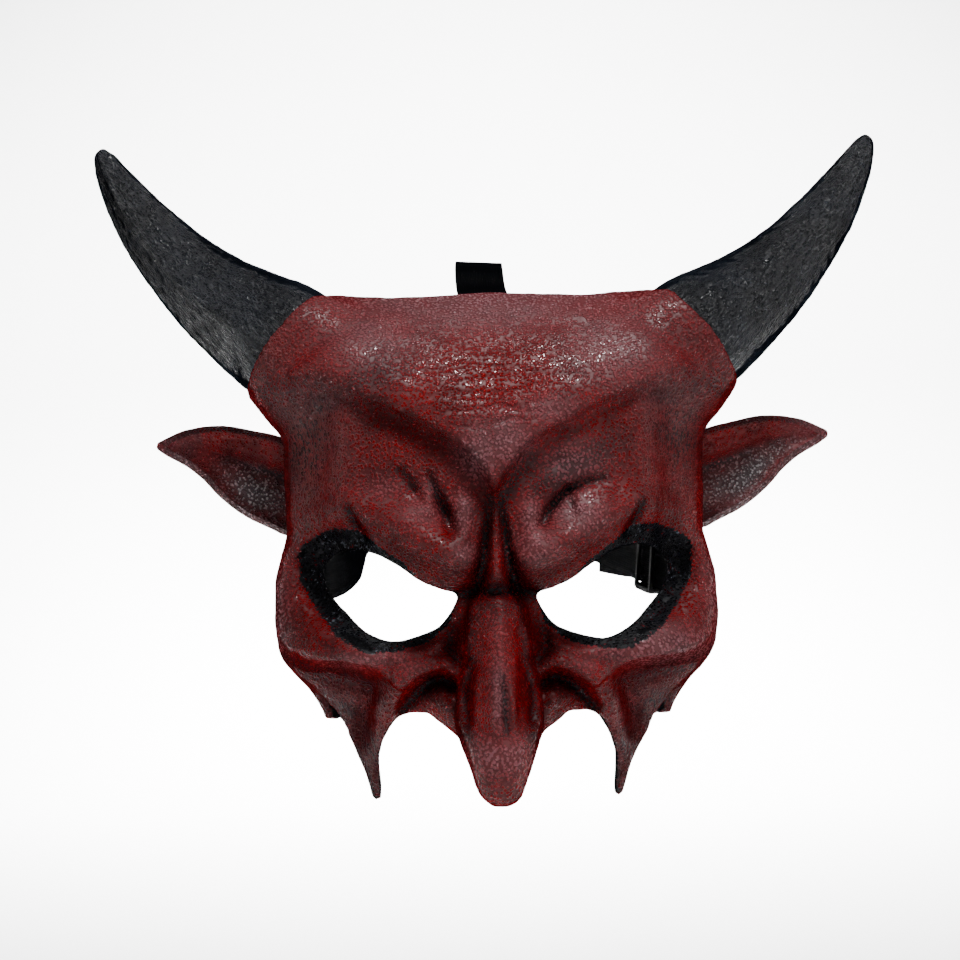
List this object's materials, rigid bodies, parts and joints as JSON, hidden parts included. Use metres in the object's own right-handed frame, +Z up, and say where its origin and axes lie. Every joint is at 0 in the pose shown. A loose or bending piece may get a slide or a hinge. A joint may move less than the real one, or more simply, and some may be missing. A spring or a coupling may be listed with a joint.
{
  "type": "horned devil half mask",
  "caption": "Costume half mask of a horned devil: moulded face shell with hooked nose, fangs, horns, pointed ears and an elastic head harness with a slider.",
  "frame": {"origin": "between the eyes at the root of the nose, on the plane through the front of the wearer's face", "axes": "+X to the right as the mask is looked at from the front, +Z up, and the face looks along -Y"},
  "size_m": [0.3171, 0.2092, 0.2609],
  "materials": {
    "painted_skin": "moulded foam latex with a pebbled skin, red paint, black wash and pale dry-brushed ridges, satin",
    "black_horn": "blue-black gloss with a finely pitted skin",
    "elastic": "ribbed woven elastic, matt",
    "patch_cloth": "plain woven cloth tape, matt",
    "slider_plastic": "moulded black plastic, satin"
  },
  "bodies": {
    "mask": {"face_shell": "painted_skin", "horn_left": "black_horn", "horn_right": "black_horn", "ear_left": "painted_skin", "ear_right": "painted_skin", "side_strap_left": "elastic", "side_strap_right": "elastic", "top_strap": "elastic", "anchor_patch_left": "patch_cloth", "anchor_patch_right": "patch_cloth", "anchor_patch_top": "patch_cloth", "rear_patch_inner": "patch_cloth", "rear_patch_outer": "patch_cloth"},
    "adjuster": {"strap_slider": "slider_plastic", "strap_tail": "elastic"}
  },
  "joints": [
    {"name": "slider_travel", "type": "slide", "parent": "mask", "child": "adjuster", "axis": [-0.3822, 0.9111, 0.1544], "range_m": [-0.01, 0.01]}
  ]
}
